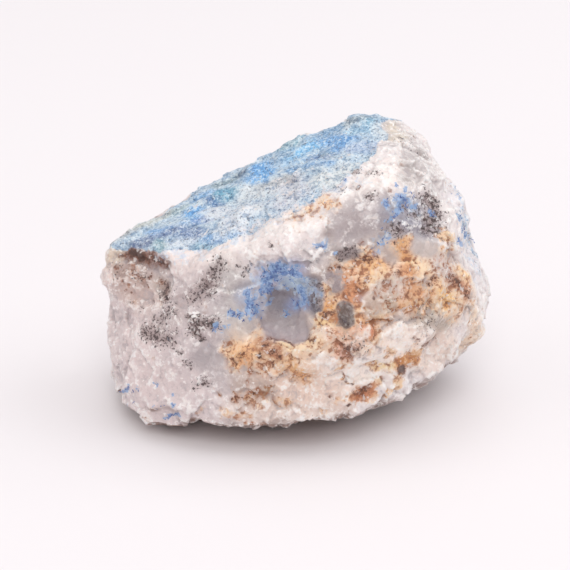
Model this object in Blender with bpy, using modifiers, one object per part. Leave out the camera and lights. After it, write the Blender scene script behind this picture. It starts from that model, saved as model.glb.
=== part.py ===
# Raw linarite: one rough piece of white vein quartz with a blue mineral crust on its top face.
# The stone is one solid. It lies on a small flat patch of its underside, at Z = 0.
# X runs along its length, Y away from the broad front face, Z up.
import math
import random

import bmesh
import bpy
from mathutils import Vector, kdtree, noise

MM = 0.001

# Driving dimensions
STONE_LENGTH = 50.0 * MM
STONE_DEPTH = 31.0 * MM
STONE_HEIGHT = 35.0 * MM
SKIN_VOXEL = 1.2 * MM
SKIN_WEAR = 0.5
BASE_CUT = 1.0 * MM
EDGE_WEAR = 0.3

# The corners of the broken block, in millimetres, before its faces are roughened
TOP_BACK_EDGE = {
    "left_tip": (-25.3, 3.0, 19.2),
    "left_lift": (-22.9, 6.0, 19.9),
    "left_rise": (-19.5, 9.0, 20.2),
    "middle_rise": (-10.8, 12.4, 24.7),
    "long_rise": (0.0, 14.4, 30.0),
    "peak_left": (7.4, 15.2, 33.2),
    "peak": (11.4, 14.2, 33.7),
}
CRUST_EDGE = {
    "tip_corner": (-24.5, 0.0, 19.7),
    "crust_left": (-16.2, -5.0, 21.6),
    "crust_low": (-12.0, -6.0, 22.6),
    "crust_middle": (-7.5, -6.5, 24.6),
    "crust_rise": (-3.0, -6.0, 26.8),
    "crust_long": (0.8, -5.5, 29.0),
    "crust_high": (5.3, -4.5, 31.2),
    "crust_end": (10.4, 0.0, 33.5),
}
SHOULDER = {
    "shoulder_left": (-10.0, -9.5, 22.9),
    "shoulder_low": (-4.9, -10.2, 24.3),
    "shoulder_middle": (0.2, -10.2, 25.9),
    "shoulder_rise": (3.3, -9.8, 27.4),
    "shoulder_high": (8.2, -8.7, 29.3),
    "shoulder_peak": (11.3, -7.2, 30.9),
    "shoulder_right": (16.4, -3.6, 30.8),
    "shoulder_end": (18.6, -2.0, 28.7),
}
RIGHT_END = {
    "peak_right": (14.6, 13.2, 32.4),
    "slope_top": (16.9, 11.2, 30.8),
    "slope_upper": (19.8, 9.2, 27.6),
    "slope_middle": (21.6, 8.2, 24.4),
    "slope_lower": (23.2, 8.0, 18.4),
    "end_point": (25.0, 7.0, 13.0),
    "end_belly": (25.3, 5.0, 10.3),
    "end_low": (24.6, 4.0, 6.4),
    "end_foot": (22.0, 6.0, 2.2),
    "end_brow": (20.2, -4.0, 22.8),
    "end_front": (22.2, -4.0, 16.0),
    "end_low_front": (21.8, -5.0, 10.8),
}
FRONT_FACE = {
    "left_wall": (-24.3, -1.5, 9.5),
    "ledge_left": (-7.6, -13.4, 13.0),
    "ledge_middle": (0.3, -14.4, 13.0),
    "ledge_right": (5.7, -14.0, 15.6),
    "brow_left": (9.9, -12.8, 19.0),
    "brow_right": (16.8, -9.0, 21.4),
}
FOOT = {
    "foot_left_back": (-23.4, 2.0, 1.0),
    "foot_left": (-25.0, -4.8, 1.3),
    "foot_left_front": (-19.7, -11.8, 1.3),
    "foot_front_left": (-10.6, -14.9, 2.5),
    "foot_front": (-0.6, -16.2, 3.2),
    "foot_front_right": (6.0, -14.6, 3.9),
    "foot_right": (13.0, -11.9, 4.6),
    "foot_right_end": (18.6, -7.4, 5.8),
    "rest_left": (-18.5, -3.5, -1.2),
    "rest_front_left": (-12.0, -5.8, -1.5),
    "rest_front": (-1.0, -5.6, -1.5),
    "rest_right": (7.5, -2.5, -1.4),
    "foot_back_right": (18.0, 10.5, 0.4),
    "foot_back": (7.0, 15.6, -1.5),
    "foot_back_left": (-9.0, 14.0, -1.5),
    "foot_left_corner": (-19.0, 8.0, -1.1),
}
BACK_FACE = {
    "back_left": (-21.8, 9.4, 12.0),
    "back_bulge": (-4.0, 16.4, 14.0),
    "back_high": (9.0, 17.0, 24.0),
    "back_right": (19.5, 12.5, 13.0),
}
CORNERS = (TOP_BACK_EDGE, CRUST_EDGE, SHOULDER, RIGHT_END, FRONT_FACE, FOOT, BACK_FACE)

# Hollows (negative push) and swells (positive push) of the faces, in millimetres
FORMS = {
    "tip_knob": {"at": (-24.5, -0.5, 16.0), "reach": 5.0, "push": 0.7},
    "tip_notch": {"at": (-24.5, -1.0, 10.4), "reach": 4.6, "push": -1.5},
    "glassy_pocket": {"at": (-1.8, -13.4, 17.2), "reach": 5.6, "push": -2.5},
    "upper_pocket": {"at": (9.0, -11.0, 22.0), "reach": 6.0, "push": -1.1},
    "ledge_swell": {"at": (6.5, -13.6, 13.6), "reach": 6.5, "push": 1.0},
    "ledge_lip": {"at": (-5.0, -13.0, 12.2), "reach": 4.2, "push": 0.9},
    "brow_swell": {"at": (17.5, -8.0, 16.0), "reach": 5.4, "push": 0.9},
    "foot_groove": {"at": (-9.5, -12.0, 6.2), "reach": 4.4, "push": -1.1},
    "left_belly": {"at": (-16.0, -7.5, 8.0), "reach": 7.0, "push": 0.6},
    "foot_undercut": {"at": (-11.0, -11.5, 0.2), "reach": 4.0, "push": -0.8},
    "end_undercut": {"at": (21.8, -3.0, 5.2), "reach": 5.0, "push": -1.3},
    "end_hollow": {"at": (22.6, 2.0, 20.0), "reach": 5.5, "push": -0.7},
    "crust_dip": {"at": (-6.0, 2.0, 26.5), "reach": 9.0, "push": -0.5},
    "back_hollow": {"at": (-12.0, 14.5, 15.0), "reach": 9.0, "push": -2.0},
    "back_swell": {"at": (4.0, 17.0, 9.0), "reach": 8.0, "push": 1.4},
    "back_step": {"at": (14.0, 14.5, 22.0), "reach": 6.5, "push": -1.6},
}

# Ledges of the broken faces, in millimetres. Below its path a face stands out by push, and above
# it hangs back by LEDGE_HOLLOW of that. A negative push is an undercut.
LEDGES = {
    "pocket_sill": {
        "path": ((-7.2, -12.8, 12.9), (-4.3, -13.3, 13.9), (-0.9, -13.9, 13.5), (5.7, -14.4, 16.4)),
        "reach": 3.4,
        "push": 0.5,
    },
    "rust_brow": {
        "path": ((4.0, -12.8, 18.4), (5.1, -11.7, 21.2), (9.7, -10.2, 22.6), (15.4, -9.2, 21.9)),
        "reach": 3.6,
        "push": 0.45,
    },
    "foot_bend": {
        "path": ((0.3, -14.3, 9.8), (6.7, -13.7, 9.5), (13.8, -11.4, 12.0), (17.9, -7.5, 11.4)),
        "reach": 3.2,
        "push": -0.4,
    },
    "glass_grain": {
        "path": ((-13.2, -11.1, 11.1), (-11.3, -11.9, 12.1), (-8.5, -12.4, 11.6)),
        "reach": 2.6,
        "push": 0.4,
    },
    "grain_foot": {
        "path": ((-12.5, -11.5, 8.3), (-10.1, -13.4, 8.7), (-8.0, -13.4, 9.6)),
        "reach": 2.4,
        "push": -0.35,
    },
    "knob_foot": {
        "path": ((-24.4, 0.5, 14.6), (-24.0, -2.0, 14.2), (-21.4, -4.3, 12.6)),
        "reach": 3.0,
        "push": -0.45,
    },
    "end_step": {
        "path": ((20.8, -4.9, 19.2), (23.4, 1.0, 17.4), (24.2, 6.0, 18.6)),
        "reach": 3.4,
        "push": 0.4,
    },
    "back_shelf": {
        "path": ((-19.5, 9.8, 13.0), (-10.0, 13.8, 17.0), (-1.0, 15.8, 15.4), (15.0, 14.0, 18.4)),
        "reach": 4.4,
        "push": 0.6,
    },
    "back_undercut": {
        "path": ((-14.0, 13.2, 6.4), (-4.0, 16.2, 5.0), (6.0, 17.4, 6.6), (14.5, 14.4, 5.4)),
        "reach": 3.8,
        "push": -0.55,
    },
}
LEDGE_HOLLOW = 0.6

# Broken faces: grains of this spacing, each with a flat face tilted its own way
GRAINS = (
    {"spacing": 7.5 * MM, "tilt": 0.15, "step": 0.26 * MM, "seed": 3},
    {"spacing": 4.0 * MM, "tilt": 0.15, "step": 0.12 * MM, "seed": 8},
)
ROUGHNESS = {"scale": 5.5 * MM, "height": 0.30 * MM}
CRUST_CALM = 0.45


def empty_scene():
    for old in list(bpy.data.objects):
        bpy.data.objects.remove(old, do_unlink=True)


def block_mesh():
    """The convex block through the named corners."""
    shape = bmesh.new()
    for group in CORNERS:
        for corner in group.values():
            shape.verts.new(Vector(corner) * MM)
    made = bmesh.ops.convex_hull(shape, input=shape.verts)
    unused = set(made["geom_interior"] + made["geom_unused"])
    spare = [item for item in unused if isinstance(item, bmesh.types.BMVert)]
    bmesh.ops.delete(shape, geom=spare, context="VERTS")
    bmesh.ops.recalc_face_normals(shape, faces=shape.faces)
    mesh = bpy.data.meshes.new("block")
    shape.to_mesh(mesh)
    shape.free()
    return mesh


def even_skin(block):
    """The block's surface as one even grid, fine enough to carry ledges and grains."""
    holder = bpy.data.objects.new("block", block)
    bpy.context.scene.collection.objects.link(holder)
    skin = holder.modifiers.new("even_skin", "REMESH")
    skin.mode = "VOXEL"
    skin.voxel_size = SKIN_VOXEL
    bpy.context.view_layer.update()
    evaluated = holder.evaluated_get(bpy.context.evaluated_depsgraph_get())
    mesh = bpy.data.meshes.new_from_object(evaluated)
    bpy.data.objects.remove(holder, do_unlink=True)
    return mesh


def grain_field(spacing, tilt, step, seed):
    """Returns a function of a point: the height of the flat grain face that the point lies on."""
    chance = random.Random(seed)
    margin = 4.0 * MM
    low = Vector((-STONE_LENGTH / 2 - margin, -STONE_DEPTH / 2 - margin, -margin))
    sizes = (STONE_LENGTH, STONE_DEPTH + margin, STONE_HEIGHT)
    counts = [math.ceil((size + 2 * margin) / spacing) for size in sizes]
    tree = kdtree.KDTree(counts[0] * counts[1] * counts[2])
    faces = []
    for column in range(counts[0]):
        for row in range(counts[1]):
            for layer in range(counts[2]):
                jitter = Vector([chance.uniform(0.05, 0.95) for _ in range(3)])
                centre = low + (Vector((column, row, layer)) + jitter) * spacing
                lean = Vector([chance.gauss(0.0, 1.0) for _ in range(3)]).normalized() * tilt
                tree.insert(centre, len(faces))
                faces.append((lean, chance.uniform(-1.0, 1.0) * step))
    tree.balance()

    def height(point):
        centre, index, _ = tree.find(point)
        lean, offset = faces[index]
        return lean.dot(point - centre) + offset

    return height


def form_height(point):
    """How far the named hollows and swells move the surface at a point."""
    total = 0.0
    for form in FORMS.values():
        distance = (point - Vector(form["at"]) * MM).length / (form["reach"] * MM)
        if distance < 1.0:
            total += form["push"] * MM * (0.5 + 0.5 * math.cos(math.pi * distance))
    return total


def wear(shape, share):
    """Rounds the surface a little: each point moves by this share towards the middle of its neighbours."""
    bmesh.ops.smooth_vert(
        shape, verts=shape.verts, factor=share, use_axis_x=True, use_axis_y=True, use_axis_z=True
    )


def nearest_on_path(point, path):
    """The nearest place on a path of millimetre points, in metres."""
    corners = [Vector(corner) * MM for corner in path]
    places = []
    for start, end in zip(corners, corners[1:]):
        along = end - start
        share = min(1.0, max(0.0, (point - start).dot(along) / along.length_squared))
        places.append(start + along * share)
    return min(places, key=lambda place: (point - place).length_squared)


def ledge_height(point):
    """How far the ledges move the surface at a point: out below each path, in above it."""
    total = 0.0
    for ledge in LEDGES.values():
        offset = point - nearest_on_path(point, ledge["path"])
        fade = 1.0 - offset.length / (ledge["reach"] * MM)
        if fade > 0.0:
            side = 1.0 if offset.z < 0.0 else -LEDGE_HOLLOW
            total += side * ledge["push"] * MM * fade
    return total


def roughen(shape):
    """Moves the skin along its normals: named forms and ledges first, then grain faces and fine noise."""
    shape.normal_update()
    moved = [vert.co + vert.normal * (form_height(vert.co) + ledge_height(vert.co)) for vert in shape.verts]
    for vert, place in zip(shape.verts, moved):
        vert.co = place
    shape.normal_update()
    fields = [grain_field(**grain) for grain in GRAINS]
    moved = []
    for vert in shape.verts:
        calm = 1.0 - CRUST_CALM * max(0.0, vert.normal.z - 0.3) / 0.7
        rise = sum(field(vert.co) for field in fields)
        rise += ROUGHNESS["height"] * noise.fractal(vert.co / ROUGHNESS["scale"], 0.7, 2.1, 3)
        moved.append(vert.co + vert.normal * rise * calm)
    for vert, place in zip(shape.verts, moved):
        vert.co = place
    wear(shape, EDGE_WEAR)


def flatten_base(shape):
    """Cuts the underside flat where the stone rests, and closes the cut."""
    lowest = min(vert.co.z for vert in shape.verts)
    geometry = list(shape.verts) + list(shape.edges) + list(shape.faces)
    cut = bmesh.ops.bisect_plane(
        shape,
        geom=geometry,
        dist=0.001 * MM,
        plane_co=(0.0, 0.0, lowest + BASE_CUT),
        plane_no=(0.0, 0.0, -1.0),
        clear_outer=True,
    )
    rim = [item for item in cut["geom_cut"] if isinstance(item, bmesh.types.BMEdge)]
    bmesh.ops.triangle_fill(shape, edges=rim, use_beauty=True, normal=(0.0, 0.0, -1.0))
    bmesh.ops.triangulate(shape, faces=shape.faces)


def centre_on_base(shape):
    """Puts the origin at the middle of the stone's box, on the face that it rests on."""
    low = Vector([min(vert.co[axis] for vert in shape.verts) for axis in range(3)])
    high = Vector([max(vert.co[axis] for vert in shape.verts) for axis in range(3)])
    middle = (low + high) / 2
    bmesh.ops.translate(shape, verts=shape.verts, vec=(-middle.x, -middle.y, -low.z))


def quartz_material():
    material = bpy.data.materials.new("vein_quartz")
    material.use_nodes = True
    shader = material.node_tree.nodes["Principled BSDF"]
    shader.inputs["Base Color"].default_value = (0.80, 0.74, 0.72, 1.0)
    shader.inputs["Roughness"].default_value = 0.55
    shader.inputs["Metallic"].default_value = 0.0
    return material


def build_stone(collection):
    shape = bmesh.new()
    shape.from_mesh(even_skin(block_mesh()))
    wear(shape, SKIN_WEAR)
    roughen(shape)
    flatten_base(shape)
    centre_on_base(shape)
    mesh = bpy.data.meshes.new("linarite_stone")
    shape.to_mesh(mesh)
    shape.free()
    mesh.materials.append(quartz_material())
    stone = bpy.data.objects.new("linarite_stone", mesh)
    collection.objects.link(stone)
    return stone


def main():
    empty_scene()
    collection = bpy.data.collections.new("raw_linarite")
    bpy.context.scene.collection.children.link(collection)
    build_stone(collection)


main()
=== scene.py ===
# Raw linarite: the looks of one rough chunk of white vein quartz under a blue crust
import math
import random

import bmesh
import bpy
import numpy as np
from mathutils import Matrix, Vector, bvhtree, kdtree, noise


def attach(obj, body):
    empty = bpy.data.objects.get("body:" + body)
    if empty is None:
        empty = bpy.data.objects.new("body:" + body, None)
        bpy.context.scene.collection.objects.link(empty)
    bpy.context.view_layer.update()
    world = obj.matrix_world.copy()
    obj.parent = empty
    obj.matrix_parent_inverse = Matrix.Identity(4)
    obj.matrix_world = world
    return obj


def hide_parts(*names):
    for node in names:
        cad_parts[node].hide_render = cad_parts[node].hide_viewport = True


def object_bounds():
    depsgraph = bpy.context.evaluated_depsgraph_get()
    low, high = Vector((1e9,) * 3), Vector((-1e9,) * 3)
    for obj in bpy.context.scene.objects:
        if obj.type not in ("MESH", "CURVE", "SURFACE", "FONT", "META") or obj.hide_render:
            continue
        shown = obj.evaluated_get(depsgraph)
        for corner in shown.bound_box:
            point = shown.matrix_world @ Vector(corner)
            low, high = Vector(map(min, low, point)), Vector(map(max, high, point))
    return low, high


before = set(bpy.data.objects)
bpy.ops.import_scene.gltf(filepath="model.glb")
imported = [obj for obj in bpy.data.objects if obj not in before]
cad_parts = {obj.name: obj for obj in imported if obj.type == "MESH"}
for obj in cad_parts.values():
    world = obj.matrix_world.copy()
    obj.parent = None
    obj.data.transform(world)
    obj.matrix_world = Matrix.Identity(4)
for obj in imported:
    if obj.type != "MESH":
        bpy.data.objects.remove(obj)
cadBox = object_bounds()

mm = 0.001


def srgb(red, green, blue):  # a colour as a picture editor shows it, each part 0 to 255
    parts = [value / 255 for value in (red, green, blue)]
    linear = [part / 12.92 if part <= 0.04045 else ((part + 0.055) / 1.055) ** 2.4 for part in parts]
    return (*linear, 1.0)


# The camera stands where the photograph was taken from
photoCamera = {
    "elevation": 25.0,
    "distance": 203.5 * mm,
    "lens": 100.0,
    "target": Vector((-1.61, -1.06, 16.29)) * mm,
    "sensor": 36.0,
    "pixels": 570,
}


def makeCamera():
    cam = photoCamera
    angle = math.radians(cam["elevation"])
    data = bpy.data.cameras.new("photoCamera")
    data.lens = cam["lens"]
    data.sensor_width = cam["sensor"]
    data.clip_start = 5 * mm
    camera = bpy.data.objects.new("photoCamera", data)
    bpy.context.scene.collection.objects.link(camera)
    camera.location = cam["target"] + Vector((0, -math.cos(angle), math.sin(angle))) * cam["distance"]
    camera.rotation_euler = (math.pi / 2 - angle, 0, 0)
    bpy.context.scene.camera = camera
    bpy.context.view_layer.update()
    return camera


def rayThrough(camera, pixel):  # start and direction of the sight line through a pixel of the photograph
    half = photoCamera["pixels"] / 2
    focal = photoCamera["pixels"] * photoCamera["lens"] / photoCamera["sensor"]
    direction = Vector(((pixel[0] - half) / focal, (half - pixel[1]) / focal, -1.0))
    turned = camera.matrix_world.to_3x3() @ direction
    return camera.location.copy(), turned.normalized()


def rayFromAround(azimuth, elevation):  # a sight line to the stone's middle; azimuth 0 is the front
    side, rise = math.radians(azimuth), math.radians(elevation)
    back = Vector((math.sin(side) * math.cos(rise), -math.cos(side) * math.cos(rise), math.sin(rise)))
    middle = (cadBox[0] + cadBox[1]) / 2
    return middle + back * 100 * mm, -back


# The skin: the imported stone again, as a mesh fine enough for grains of half a millimetre
skin = {"voxel": 0.25 * mm, "smoothing": 14, "ease": 0.5, "keep": 0.76}


def meshFrom(thing):  # the mesh that an object shows, modifiers applied
    bpy.context.view_layer.update()
    return bpy.data.meshes.new_from_object(thing.evaluated_get(bpy.context.evaluated_depsgraph_get()))


def addObject(name, shape):  # puts what bmesh has built in the scene
    mesh = bpy.data.meshes.new(name)
    shape.to_mesh(mesh)
    shape.free()
    thing = bpy.data.objects.new(name, mesh)
    bpy.context.scene.collection.objects.link(thing)
    return thing


def makeSkin(node):
    shape = bmesh.new()
    shape.from_mesh(node.data)
    bmesh.ops.remove_doubles(shape, verts=shape.verts, dist=0.001 * mm)
    stone = addObject("quartz_stone", shape)
    remesh = stone.modifiers.new("evenSkin", "REMESH")
    remesh.mode = "VOXEL"
    remesh.voxel_size = skin["voxel"]
    ease = stone.modifiers.new("easeFacets", "SMOOTH")
    ease.factor = skin["ease"]
    ease.iterations = skin["smoothing"]
    fine = meshFrom(stone)
    stone.modifiers.clear()
    stone.data = fine
    print("skin:", len(fine.vertices), "points")
    return stone


def pointsOf(mesh):
    flat = np.zeros(len(mesh.vertices) * 3)
    mesh.vertices.foreach_get("co", flat)
    return flat.reshape(-1, 3)


def normalsOf(mesh):
    flat = np.zeros(len(mesh.vertices) * 3)
    mesh.vertex_normals.foreach_get("vector", flat)
    return flat.reshape(-1, 3)


def noiseAt(points, size, octaves=3, seed=0):  # smooth noise, about -1 to 1
    shift = Vector((7.3, 3.1, 5.7)) * seed
    return np.array([noise.fractal(Vector(point) / size + shift, 0.9, 2.1, octaves) for point in points])


def smoothStep(low, high, values):
    share = np.clip((values - low) / (high - low), 0, 1)
    return share * share * (3 - 2 * share)


def markMaker(kind):  # marks are put on one by one, each with its reach in millimetres and its weight
    def mark(reach, weight, *places, colour=None):
        return {"kind": kind, "reach": reach, "weight": weight, "places": places, "colour": colour}

    return mark


# A path and dots are in pixels of the photograph. "around" is azimuth and elevation, for the hidden sides.
path, dots, around = (markMaker(kind) for kind in ("path", "dots", "around"))

# The soft tints of the quartz itself, laid one over another in this order. The weight is each tint's share.
baseTint = (228, 219, 218)
tintZones = {
    "back upper": around(9, 0.8, (210, 34), (180, 30), (150, 30), colour=(230, 220, 216)),
    "back lower": around(8, 0.8, (215, -4), (180, -8), (150, -10), colour=(214, 200, 197)),
    "back grey": around(5, 0.7, (190, 14), (168, 10), colour=(192, 184, 188)),
    "back peach": around(6, 0.8, (135, 0), (120, -8), colour=(228, 196, 168)),
    "left side": around(8, 0.8, (270, 10), (250, 6), colour=(216, 202, 201)),
    "left face": path(11, 0.9, (128, 315), (150, 350), (165, 385), colour=(217, 202, 201)),
    "left low": path(6, 0.8, (125, 395), (170, 405), colour=(217, 203, 203)),
    "left pink": path(5, 0.6, (135, 330), (150, 375), colour=(223, 206, 204)),
    "knob": path(4.2, 0.9, (112, 262), (128, 276), (145, 280), colour=(236, 216, 209)),
    "knob rim": path(1.6, 0.8, (104, 256), (117, 255), colour=(206, 188, 168)),
    "knob foot": path(2.2, 0.7, (119, 288), (132, 294), colour=(204, 180, 172)),
    "knob green": path(1.6, 0.7, (160, 282), (166, 290), colour=(170, 158, 140)),
    # painted shade: the quartz just below the crust's overhang is tinted darker
    "shade under crust": path(3, 0.7, (150, 264), (175, 268), (195, 276), colour=(205, 190, 187)),
    "upper left": path(3, 0.9, (175, 262), (205, 262), (232, 258), colour=(244, 230, 225)),
    "left stair": path(4.5, 0.8, (215, 285), (235, 300), (215, 320), colour=(208, 198, 199)),
    "centre grey": path(4, 0.75, (240, 270), (252, 300), (238, 328), colour=(190, 184, 182)),
    "left middle": path(5, 0.7, (180, 300), (185, 345), colour=(212, 199, 199)),
    "shoulder": path(
        3.4, 0.9, (225, 246), (285, 228), (340, 205), (395, 175), (425, 165), colour=(242, 231, 226),
    ),
    "shoulder low": path(3.2, 0.8, (255, 262), (300, 250), (330, 240), colour=(226, 216, 215)),
    "grey belt": path(3, 0.7, (318, 262), (335, 275), (345, 262), (360, 250), colour=(184, 174, 175)),
    "belt right": path(2.6, 0.7, (370, 245), (390, 248), colour=(186, 175, 173)),
    # painted shade: these two tints are set darker to offset the strong light from above and from the right
    # that falls on them
    "pink grey": path(4, 0.95, (350, 222), (375, 214), colour=(174, 162, 163)),
    "right cluster": path(3.2, 0.95, (400, 215), (425, 218), (415, 236), colour=(146, 143, 155)),
    "right shoulder": path(3, 0.7, (432, 180), (445, 215), colour=(230, 221, 218)),
    "right wall": path(3.4, 0.9, (455, 200), (468, 240), (482, 285), colour=(232, 226, 228)),
    "rust wash": path(5, 0.8, (352, 285), (395, 275), (440, 280), (462, 300), colour=(230, 210, 194)),
    "rust low wash": path(4.6, 0.8, (345, 318), (385, 310), (425, 300), colour=(218, 200, 188)),
    "pale island": path(2, 0.8, (396, 285), (404, 290), colour=(226, 214, 204)),
    "ledge wash": path(3.8, 0.8, (245, 355), (280, 350), (325, 338), colour=(226, 200, 176)),
    "ledge grey": path(2.4, 0.7, (262, 375), (268, 385), colour=(192, 172, 164)),
    "pink rust": path(3, 0.8, (345, 340), (372, 335), colour=(222, 192, 172)),
    "green grey": path(2.4, 0.95, (426, 314), (440, 326), colour=(168, 152, 138)),
    "rust grey": path(2.6, 0.8, (352, 300), (372, 308), (390, 312), colour=(188, 164, 148)),
    "foot right": path(3.6, 0.85, (400, 340), (425, 352), (440, 350), colour=(236, 216, 203)),
    "foot white": path(4.6, 0.85, (330, 380), (365, 368), (395, 352), colour=(247, 233, 223)),
    "foot cream": path(4.6, 0.85, (270, 392), (300, 388), (320, 402), colour=(232, 206, 190)),
    "foot orange": path(2.4, 0.6, (296, 360), (305, 372), colour=(228, 190, 156)),
    "foot edge": path(2.2, 0.7, (235, 412), (290, 420), (340, 408), colour=(222, 204, 194)),
    "right flank": path(3, 0.8, (474, 310), (478, 335), (462, 345), colour=(238, 212, 186)),
    "flank white": path(2.4, 0.8, (484, 290), (484, 310), colour=(236, 228, 226)),
    "left window": path(2.4, 0.95, (203, 358), (217, 364), colour=(176, 166, 168)),
    "low window": path(2.4, 0.7, (215, 378), (235, 380), colour=(188, 176, 176)),
    "pocket": path(2.6, 0.95, (268, 322), (298, 324), colour=(165, 154, 156)),
    "pocket foot": path(1.6, 0.8, (268, 334), (298, 337), colour=(182, 168, 172)),
    "pocket heart": path(1.9, 0.95, (278, 294), (294, 296), (284, 304), colour=(128, 124, 134)),
    "crown haze": path(1.8, 0.85, (266, 278), (280, 273), (296, 270), colour=(166, 172, 206)),
    "crown plate": path(1.2, 0.9, (290, 282), (303, 286), colour=(166, 190, 208)),
    "pocket glow": path(1.3, 0.85, (292, 306), (306, 303), colour=(142, 154, 192)),
    "drip haze": path(1.8, 0.75, (248, 296), (258, 308), colour=(168, 176, 200)),
    "dark flank": path(1.6, 1, (312, 284), (315, 294), (316, 306), colour=(96, 90, 100)),
    "smoky bead": path(1.8, 1, (345, 309), (347, 319), colour=(44, 16, 26)),
    "right grain": path(1.9, 0.8, (424, 246), (431, 250), colour=(190, 180, 178)),
    "middle grain": path(1.8, 0.8, (380, 252), (390, 257), colour=(182, 168, 164)),
    "brown grain": path(1, 0.8, (327, 234), (331, 238), colour=(160, 144, 140)),
    "small grain": path(1.3, 0.95, (342, 255), (355, 253), colour=(128, 116, 116)),
    "dark grain": path(1.7, 0.95, (332, 280), (338, 290), colour=(152, 138, 140)),
    "tip shade": path(1.5, 0.95, (129, 254), (145, 259), (163, 263), colour=(122, 94, 86)),
    "knob streak": path(1.3, 0.8, (118, 270), (134, 272), (142, 280), colour=(156, 130, 120)),
    "stair shade": path(1.8, 0.6, (206, 284), (196, 294), (178, 302), colour=(178, 160, 158)),
    "nest shade": path(2.4, 0.6, (156, 330), (170, 318), colour=(188, 172, 170)),
    "nest shade right": path(2, 0.6, (196, 322), (204, 332), colour=(180, 164, 164)),
    "knob hollow": path(2.2, 0.5, (118, 292), (132, 300), (150, 300), colour=(196, 176, 170)),
    # painted shade: the peak's tint is set darker to offset the strong light on the top
    "peak": path(4, 0.9, (392, 128), (412, 150), (428, 172), colour=(198, 189, 188)),
    "peak grey": dots(1.5, 0.85, (411, 165), (406, 178), (423, 154), colour=(166, 156, 154)),
    "peak cream": path(1.2, 0.7, (394, 124), (402, 136), (392, 140), colour=(222, 208, 190)),
    "foot groove": path(1.8, 0.7, (243, 386), (260, 386), (266, 396), colour=(186, 164, 152)),
}
crustMarks = {
    "tip": path(1.5, 0.8, (108, 245), (126, 238)),
    "far rim": path(2.8, 1, (128, 234), (150, 223), (215, 184), (296, 143), (352, 121), (378, 117)),
    "band": path(
        4.6, 1, (134, 243), (165, 234), (200, 216), (238, 190), (272, 168), (310, 158), (345, 144),
        (374, 132),
    ),
    "between": path(2.6, 0.75, (232, 211), (262, 195), (300, 181), (334, 168)),
    "low left": path(1.8, 0.9, (150, 246), (176, 244), (205, 243), (228, 234)),
    "speckled": path(
        2.8, 0.62, (222, 222), (250, 212), (275, 204), (300, 194), (330, 180), (345, 168), (364, 154),
    ),
    "right wall": path(1.8, 0.4, (461, 215), (470, 238), (480, 262)),
    "back lip": around(4, 0.8, (200, 62), (180, 58), (160, 60)),
    "back patch": around(3, 0.6, (172, 8), (166, -4)),
}
bareMarks = {  # quartz that the crust stops at
    "tip": path(1.3, 1, (108, 272), (106, 263), (110, 258)),
    "knob": path(2.4, 1, (108, 268), (124, 272), (146, 274)),
    "left": path(1.5, 1, (110, 260), (125, 260), (150, 262), (185, 263), (205, 262)),
    "middle": path(1.4, 1, (216, 257), (240, 247), (266, 237), (291, 225), (316, 213)),
    "right": path(1.9, 1, (332, 206), (352, 190), (374, 172), (390, 156), (400, 140), (398, 126)),
}
# painted shade: a dark brown laid on the underside's downward faces, so the floor's shadow beneath comes
# out darker and warmer
underShadeTint = (128, 92, 76)
crustTint = (178, 200, 218)
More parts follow.
